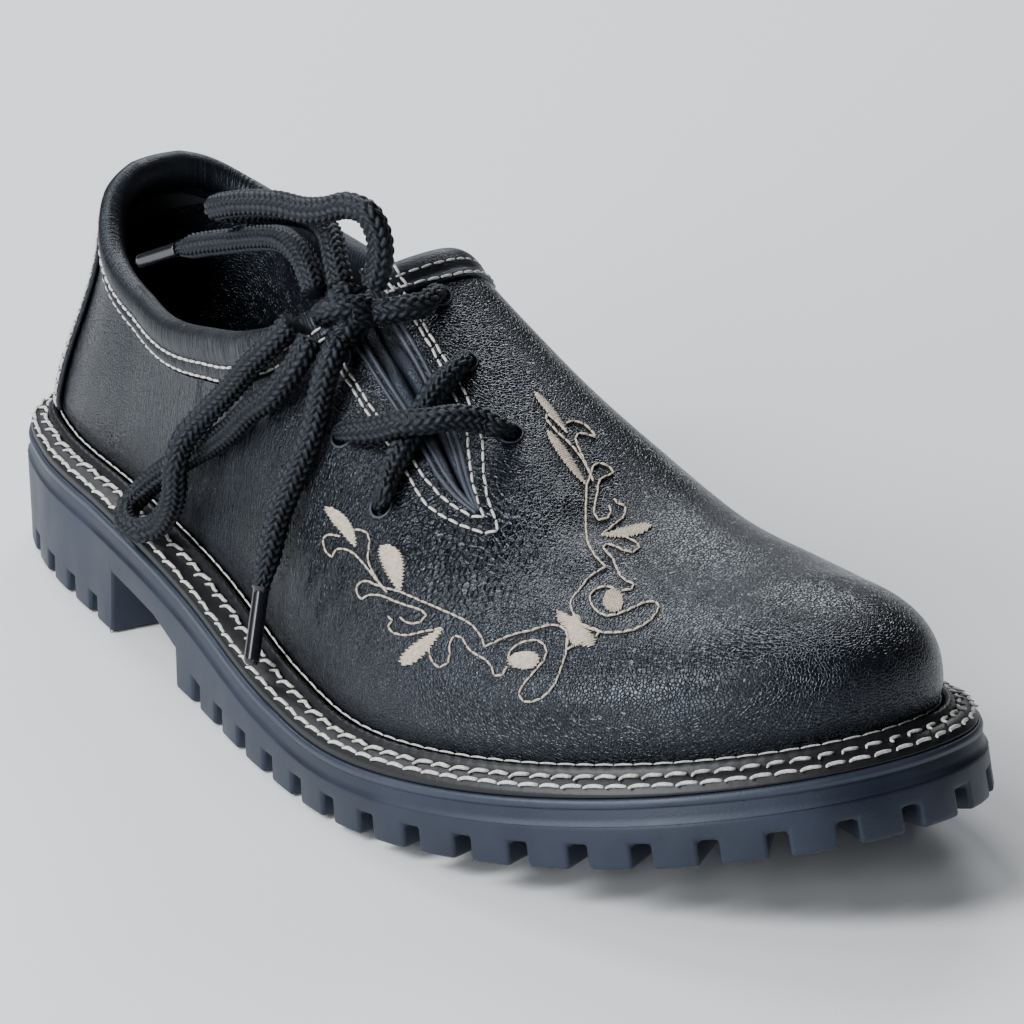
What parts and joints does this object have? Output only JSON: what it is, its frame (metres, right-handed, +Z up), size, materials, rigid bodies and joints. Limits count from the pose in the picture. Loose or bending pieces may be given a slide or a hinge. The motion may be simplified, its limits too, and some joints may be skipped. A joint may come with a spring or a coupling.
{
  "type": "side-laced folk shoe",
  "caption": "Low black leather shoe laced at the outer side, with a stitched welt, lugged rubber sole and scroll embroidery.",
  "frame": {"origin": "on the floor under the middle of the outsole's box", "axes": "+Z up, -Y towards the toe, -X towards the outer (lateral) side of this right shoe"},
  "size_m": [0.1113, 0.3, 0.1156],
  "materials": {
    "sole_rubber": "matt moulded",
    "welt_leather": "waxed strip",
    "lining": "soft, matt",
    "black_leather": "fine grain, waxed",
    "lace": "round braid",
    "aglet": "glossy sleeve"
  },
  "bodies": {
    "root": {"outsole": "sole_rubber", "welt": "welt_leather", "insole": "lining", "upper": "black_leather", "collar_band": "black_leather", "heel_counter": "black_leather", "tongue": "black_leather", "lace_bars": "lace", "lace_bar_top": "lace", "lace_knot": "lace", "lace_loop_a": "lace", "lace_loop_b": "lace", "lace_end_a": "lace", "lace_end_b": "lace", "aglet_a": "aglet", "aglet_b": "aglet"}
  },
  "joints": []
}
